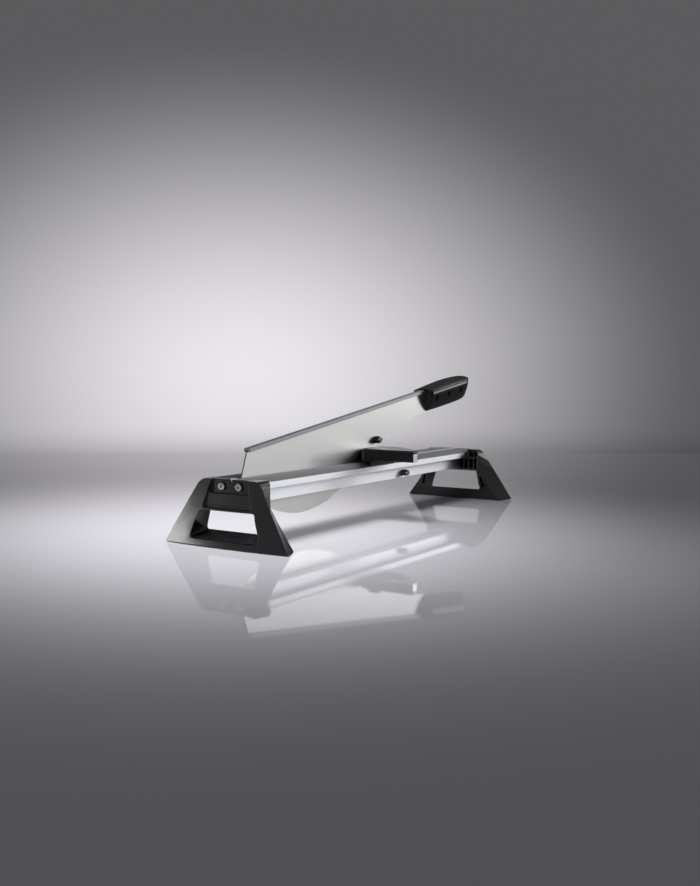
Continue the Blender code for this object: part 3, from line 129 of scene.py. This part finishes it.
def linear(code):
    """An sRGB hex colour as linear red, green, blue and alpha."""
    values = [int(code[i:i + 2], 16) / 255 for i in (1, 3, 5)]
    return (*[v / 12.92 if v <= 0.04045 else ((v + 0.055) / 1.055) ** 2.4 for v in values], 1.0)


def add_node(material, kind, inputs=None, **settings):
    """Adds a shader node with its settings; an input is a value or the socket it is linked from."""
    node = material.node_tree.nodes.new(kind)
    for key, value in settings.items():
        setattr(node, key, value)
    for key, value in (inputs or {}).items():
        if isinstance(value, bpy.types.NodeSocket):
            material.node_tree.links.new(value, node.inputs[key])
        else:
            node.inputs[key].default_value = value
    return node


def link(material, source, target):
    material.node_tree.links.new(source, target)


def finish(name, code, roughness, metallic=0.0, ior=None):
    """A material with one Principled shader; returns both."""
    material = bpy.data.materials.new(name)
    material.use_nodes = True
    shader = material.node_tree.nodes["Principled BSDF"]
    shader.inputs["Base Color"].default_value = linear(code)
    shader.inputs["Roughness"].default_value = roughness
    shader.inputs["Metallic"].default_value = metallic
    if ior:
        shader.inputs["IOR"].default_value = ior
    return material, shader


def grained(name, code, roughness, grain, depth, ior=1.53):
    """Moulded plastic: spark-eroded grain as a fine bump, and a slow change of gloss over the surface."""
    material, shader = finish(name, code, roughness, ior=ior)
    place = add_node(material, "ShaderNodeTexCoord").outputs["Object"]
    fine = add_node(material, "ShaderNodeTexNoise", {"Vector": place, "Scale": 1 / grain, "Detail": 3.0})
    bump = add_node(material, "ShaderNodeBump", {
        "Height": fine.outputs["Fac"], "Strength": GRAIN_BUMP, "Distance": depth})
    link(material, bump.outputs["Normal"], shader.inputs["Normal"])
    slow = add_node(material, "ShaderNodeTexNoise", {"Vector": place, "Scale": 1 / GLOSS_PATCH, "Detail": 2.0})
    gloss = add_node(material, "ShaderNodeMapRange", {
        "Value": slow.outputs["Fac"], "To Min": roughness - GLOSS_BELOW, "To Max": roughness + GLOSS_ABOVE})
    link(material, gloss.outputs["Result"], shader.inputs["Roughness"])
    return material


def drawn(name, code, roughness, line, turn_y=0.0, depth=0.01 * MM):
    """Drawn or ground metal: fine lines along X, or along the lever, that stretch reflections across them."""
    material, shader = finish(name, code, roughness, metallic=1.0)
    along = add_node(
        material, "ShaderNodeVectorTransform", {"Vector": (math.cos(turn_y), 0, math.sin(turn_y))},
        vector_type="VECTOR", convert_from="OBJECT", convert_to="WORLD").outputs["Vector"]
    normal = add_node(material, "ShaderNodeNewGeometry").outputs["Normal"]
    across = add_node(material, "ShaderNodeVectorMath", {0: normal, 1: along}, operation="CROSS_PRODUCT")
    link(material, across.outputs["Vector"], shader.inputs["Tangent"])
    shader.inputs["Anisotropic"].default_value = LINE_STRETCH
    place = add_node(material, "ShaderNodeTexCoord").outputs["Object"]
    turned_place = add_node(material, "ShaderNodeMapping", {"Vector": place, "Rotation": (0, turn_y, 0)})
    stretched = add_node(material, "ShaderNodeMapping", {
        "Vector": turned_place.outputs["Vector"], "Scale": (LINE_LENGTHENED, 1, 1)})
    lines = add_node(material, "ShaderNodeTexNoise", {
        "Vector": stretched.outputs["Vector"], "Scale": 1 / line, "Detail": 4.0})
    bump = add_node(material, "ShaderNodeBump", {
        "Height": lines.outputs["Fac"], "Strength": LINE_BUMP, "Distance": depth})
    link(material, bump.outputs["Normal"], shader.inputs["Normal"])
    return material


# Glass-filled nylon of the feet, fence and grip: deep black with a fine moulded grain, satin gloss
moulded_nylon = grained("moulded_nylon_black", "#0B0B0D", 0.2, 0.45 * MM, 0.04 * MM)
# Thermoplastic rubber cap of the grip: a little greyer and duller than the hard plastic
soft_cap = grained("soft_touch_black", "#1A1B1C", 0.42, 0.6 * MM, 0.05 * MM, ior=1.5)
# Vulcanised rubber of pads and sleeves: matt black
rubber = grained("rubber_black", "#131314", 0.62, 0.5 * MM, 0.03 * MM, ior=1.52)
# Extruded aluminium, clear anodised: pale satin with die lines along the rails
anodised = drawn("anodised_aluminium", "#D9DBDE", 0.42, DIE_LINE)
# The same extrusion on the rails' upward faces, deck and slope: painted shade, a darker copy of its colour that
# stands in for the darker reflection there
painted_shade_deck = drawn("anodised_aluminium_painted_shade", "#8C8E91", 0.42, DIE_LINE)
# The same metal in the fence bar, brushed both ways: no lines
plain_aluminium = finish("anodised_aluminium_plain", "#D9DCDF", 0.36, metallic=1.0)[0]
# The spine's extrusion: darker grey as painted shade for the dark reflection along its top, and smoother, its die
# lines along the lever
painted_shade_lever = drawn("anodised_aluminium_lever_painted_shade", "#808286", 0.3, DIE_LINE, LEVER_SLOPE)
# Cold-rolled tool steel ground lengthwise: bright satin, slightly warm
ground_steel = drawn("ground_tool_steel", "#B8B9B7", 0.28, GRINDING_LINE, LEVER_SLOPE, depth=0.003 * MM)
# The same steel where it was cut to shape: dull and darker
cut_steel = finish("cut_tool_steel", "#5E6062", 0.5, metallic=1.0)[0]
# Zinc plate on steel screws and nuts: smooth mid grey
zinc = finish("bright_zinc_steel", "#A2A4A6", 0.26, metallic=1.0)[0]
# Turned brass of the bush: yellow satin
brass = finish("turned_brass", "#C9A25A", 0.3, metallic=1.0)[0]
# Natural nylon of the washers: cream, dull
nylon = finish("natural_nylon", "#CFCBBE", 0.45, ior=1.53)[0]

# The record's material slots: finish and edge radius
FINISHES = {
    "black_plastic": (moulded_nylon, MOULDED_EDGE),
    "soft_black": (soft_cap, MOULDED_EDGE),
    "rubber": (rubber, TURNED_EDGE),
    "aluminium": (anodised, EXTRUDED_EDGE),
    "blade_steel": (ground_steel, 0),
    "zinc_steel": (zinc, TURNED_EDGE),
    "brass": (brass, 0),
    "nylon": (nylon, 0),
}
# Pieces whose finish differs from their slot's
# The spine's finish carries painted shade: a darker grey for its dark reflection
OWN_FINISH = {"spine": painted_shade_lever, "fence_bar": plain_aluminium}


def is_cut_edge(face):
    """A face round the blade's outline, not on its flat sides."""
    return abs(face.normal.y) < CUT_EDGE_LIMIT


def looks_up(face):
    """A face of the rail's deck or of its slope."""
    return face.normal.z > UPWARD_LIMIT


# The rails' upward faces take painted shade: a darker copy of the aluminium
SECOND_FINISH = {
    "blade": (cut_steel, is_cut_edge),
    "rail_front": (painted_shade_deck, looks_up),
    "rail_rear": (painted_shade_deck, looks_up),
}


def placed(name, bm, *materials):
    """A new object at the origin with the bmesh as its mesh."""
    mesh = bpy.data.meshes.new(name)
    bm.to_mesh(mesh)
    bm.free()
    for material in materials:
        mesh.materials.append(material)
    obj = bpy.data.objects.new(name, mesh)
    bpy.context.scene.collection.objects.link(obj)
    return obj


def as_piece(name, bm, body, *materials):
    """A finished piece that rides on a body, shaded smooth below the crease angle."""
    piece = placed(name, bm, *materials)
    piece.data.shade_smooth()
    piece.data.set_sharp_from_angle(angle=CREASE_ANGLE)
    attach(piece, body)
    return piece


def round_over(bm, radius):
    """Rounds every edge that is sharper than the crease angle."""
    sharp = [e for e in bm.edges if len(e.link_faces) == 2 and e.calc_face_angle(0) > CREASE_ANGLE]
    bmesh.ops.bevel(
        bm, geom=sharp, offset=radius, offset_type="OFFSET", segments=EDGE_SEGMENTS,
        profile=0.5, affect="EDGES", clamp_overlap=False, material=-1)


def dress(name, slot):
    """Puts a copy of a CAD node with rounded edges in its place."""
    source = frame["nodes"][name]
    material, radius = FINISHES[slot]
    materials = [OWN_FINISH.get(name, material)]
    bm = bmesh.new()
    bm.from_mesh(source.data)
    bmesh.ops.remove_doubles(bm, verts=bm.verts, dist=WELD)
    bmesh.ops.dissolve_limit(bm, angle_limit=FLAT_ANGLE, verts=bm.verts, edges=bm.edges, delimit=set())
    if radius:
        round_over(bm, radius)
    if name in SECOND_FINISH:
        second, takes_second = SECOND_FINISH[name]
        materials.append(second)
        for face in bm.faces:
            face.material_index = int(takes_second(face))
    piece = as_piece(f"{name}_finished", bm, source["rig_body"], *materials)
    if radius:
        flats = piece.modifiers.new("flat_faces_stay_flat", "WEIGHTED_NORMAL")
        flats.mode = "FACE_AREA"
        flats.keep_sharp = True
    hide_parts(name)


def deck_dots():
    """Five small flat dark discs along the blade slot on the front rail."""
    ink = finish("dark_dots", "#1B1C1F", 0.6)[0]
    bm = bmesh.new()
    for k in range(DOT_COUNT):
        spot = (BASE_X + DOT_FIRST_X + k * DOT_PITCH, DOT_Y, DECK_TOP + DOT_RAISE)
        bmesh.ops.create_cone(
            bm, cap_ends=True, segments=DOT_SIDES, radius1=DOT_RADIUS, radius2=DOT_RADIUS, depth=DOT_RAISE,
            matrix=Matrix.Translation(spot))
    as_piece("deck_dots", bm, frame["nodes"]["rail_front"]["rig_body"], ink)


def studio_table():
    """A plain pale table top that keeps a faint mirror image; its far edge is the photograph's horizon."""
    material, shader = finish("studio_table", "#9D9CA1", 0.035)
    shader.inputs["Specular IOR Level"].default_value = 0.4
    bm = bmesh.new()
    bmesh.ops.create_grid(bm, x_segments=1, y_segments=1, size=TABLE_HALF)
    bmesh.ops.translate(bm, verts=bm.verts, vec=(TABLE_EDGE - TABLE_HALF, 0, 0))
    bmesh.ops.rotate(bm, verts=bm.verts, cent=(0, 0, 0), matrix=Matrix.Rotation(VIEW_YAW, 3, "Z"))
    table = placed("studio_table", bm, material)
    return table


def studio_wall():
    """The room as the world: a lit patch of grey wall behind the tool, darker round it, mid grey elsewhere."""
    world = bpy.data.worlds.new("studio")
    world.use_nodes = True
    back = world.node_tree.nodes["Background"]
    facing = add_node(world, "ShaderNodeTexCoord").outputs["Generated"]
    patch = (math.cos(PATCH_YAW), math.sin(PATCH_YAW), 0)
    flat = add_node(world, "ShaderNodeVectorMath", {
        0: facing, 1: PATCH_FLATTENED}, operation="MULTIPLY").outputs["Vector"]
    flat = add_node(world, "ShaderNodeVectorMath", {0: flat}, operation="NORMALIZE").outputs["Vector"]
    toward = add_node(world, "ShaderNodeVectorMath", {0: flat, 1: patch}, operation="DOT_PRODUCT").outputs["Value"]
    angle = add_node(world, "ShaderNodeMath", {0: toward}, operation="ARCCOSINE").outputs["Value"]
    near = add_node(world, "ShaderNodeMapRange", {
        "Value": angle, "From Min": 0.0, "From Max": PATCH_REACH, "To Min": PATCH_LIGHT, "To Max": WALL_LIGHT,
    }, interpolation_type="SMOOTHSTEP").outputs["Result"]
    far = add_node(world, "ShaderNodeMapRange", {
        "Value": angle, "From Min": ROOM_FROM, "From Max": ROOM_TO, "To Min": 0.0, "To Max": ROOM_LIGHT,
    }, interpolation_type="SMOOTHSTEP").outputs["Result"]
    height = add_node(world, "ShaderNodeSeparateXYZ", {"Vector": facing}).outputs["Z"]
    foot = add_node(world, "ShaderNodeMapRange", {
        "Value": height, "From Min": WALL_FOOT[0], "From Max": WALL_FOOT[1],
        "To Min": WALL_FOOT_SHARE, "To Max": 1.0,
    }, interpolation_type="SMOOTHSTEP").outputs["Result"]
    lit = add_node(world, "ShaderNodeMath", {0: near, 1: foot}, operation="MULTIPLY").outputs["Value"]
    level = add_node(world, "ShaderNodeMath", {0: lit, 1: far}, operation="ADD").outputs["Value"]
    back.inputs["Color"].default_value = linear("#FDFAFF")
    link(world, level, back.inputs["Strength"])
    bpy.context.scene.world = world


def lamp(name, spot, aim, size, power, spread=180):
    """A soft rectangular lamp at a spot, facing a point; the camera doesn't see it."""
    data = bpy.data.lights.new(name, "AREA")
    data.shape = "RECTANGLE"
    data.size, data.size_y = size
    data.energy = power
    data.spread = math.radians(spread)
    obj = bpy.data.objects.new(name, data)
    bpy.context.scene.collection.objects.link(obj)
    obj.location = spot
    obj.rotation_euler = (Vector(aim) - Vector(spot)).to_track_quat("-Z", "Y").to_euler()
    obj.visible_camera = False
    return obj


def studio_light(table):
    """The lamps; three cards leave the table out, and the soft box isn't mirrored, so the table stays plain."""
    # Lights the table round the tool
    overhead = lamp("top_softbox", (-0.3, 0.12, 1.15), (-0.2, 0.1, 0), (0.7, 0.5), 5.4, 55)
    overhead.visible_glossy = False
    # Its reflection runs up the near foot's left leg
    lamp("left_strip", (-1.68, 1.82, 0.12), (-0.33, 0, 0.05), (0.3, 0.24), 3.8)
    cards = [
        # What the blade and the rails' fronts reflect
        lamp("right_card", (1.75, -1.25, 0.58), (0, 0, 0.1), (1.7, 1), 14),
        # A faint sheen on the grip's cap
        lamp("cap_card", (1.1, -0.45, 1.25), (0.2, 0, 0.15), (0.4, 0.4), 0.8),
        # Glints on the edges that face the camera
        lamp("front_fill", (-1.3, -1.75, 0.16), (0, 0, 0.05), (0.5, 0.3), 8),
    ]
    off_table = bpy.data.collections.new("off_table")
    off_table.objects.link(table)
    off_table.collection_objects[0].light_linking.link_state = "EXCLUDE"
    for card in cards:
        card.light_linking.receiver_collection = off_table


def photo_camera():
    """The camera that took the photograph, as its perspective gives it."""
    data = bpy.data.cameras.new("photo_camera")
    data.lens = 40.52
    data.sensor_width = 36
    data.shift_y = -0.0011
    data.clip_start = 0.01
    data.clip_end = 50
    cam = bpy.data.objects.new("photo_camera", data)
    bpy.context.scene.collection.objects.link(cam)
    cam.location = VIEW_SPOT
    level = math.cos(VIEW_PITCH)
    ahead = Vector((math.cos(VIEW_YAW) * level, math.sin(VIEW_YAW) * level, -math.sin(VIEW_PITCH)))
    cam.rotation_euler = ahead.to_track_quat("-Z", "Y").to_euler()
    bpy.context.scene.camera = cam


for entry in frame["record"]["subparts"]:
    dress(entry["node"], entry["material_slot"])
deck_dots()
studio_wall()
studio_light(studio_table())
photo_camera()
bpy.context.scene.view_settings.view_transform = "Standard"

bpy.context.view_layer.update()
